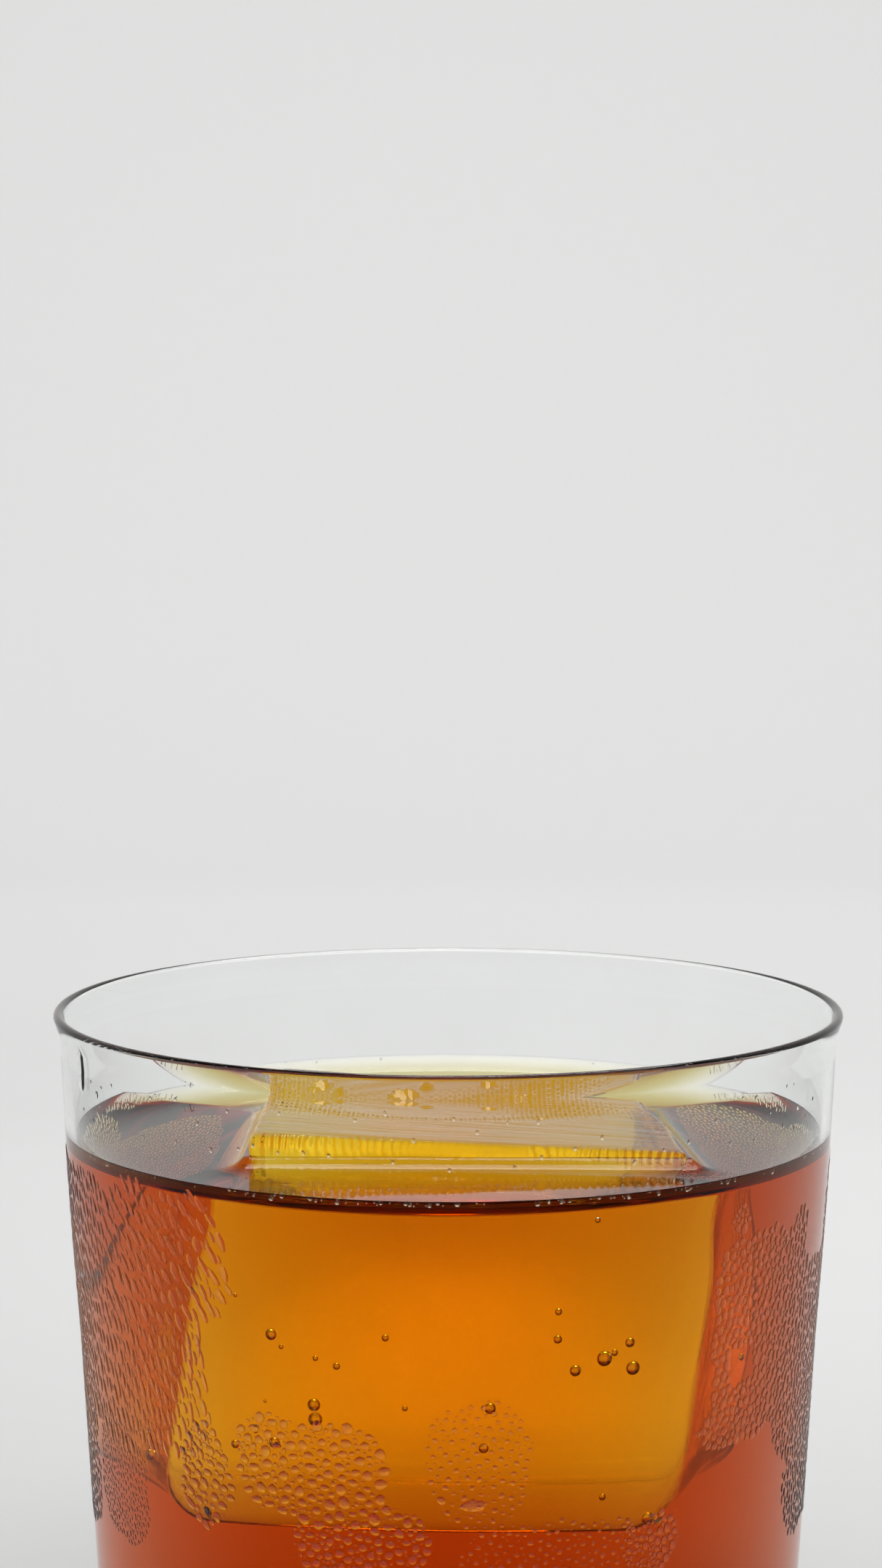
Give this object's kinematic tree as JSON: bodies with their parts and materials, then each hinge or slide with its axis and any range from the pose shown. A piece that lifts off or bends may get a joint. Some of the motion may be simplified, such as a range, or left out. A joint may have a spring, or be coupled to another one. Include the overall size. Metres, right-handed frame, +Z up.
{
  "type": "coffee soda in a tumbler",
  "caption": "Tapered clear tumbler of amber coffee soda with a large tilted block of clear ice floating in it, for serving a cold drink.",
  "frame": {"origin": "centre of the tumbler's base, on the surface it stands on", "axes": "+Z up along the tumbler's axis; -Y is the side that the picture shows; +X is to the viewer's right"},
  "size_m": [0.088, 0.088, 0.095],
  "materials": {
    "clear_glass": "polished thin glass, beaded with condensation",
    "amber_drink": "clear amber liquid",
    "clear_ice": "wet clear ice"
  },
  "bodies": {
    "root": {"tumbler": "clear_glass", "coffee_soda": "amber_drink", "ice_block": "clear_ice"}
  },
  "joints": []
}
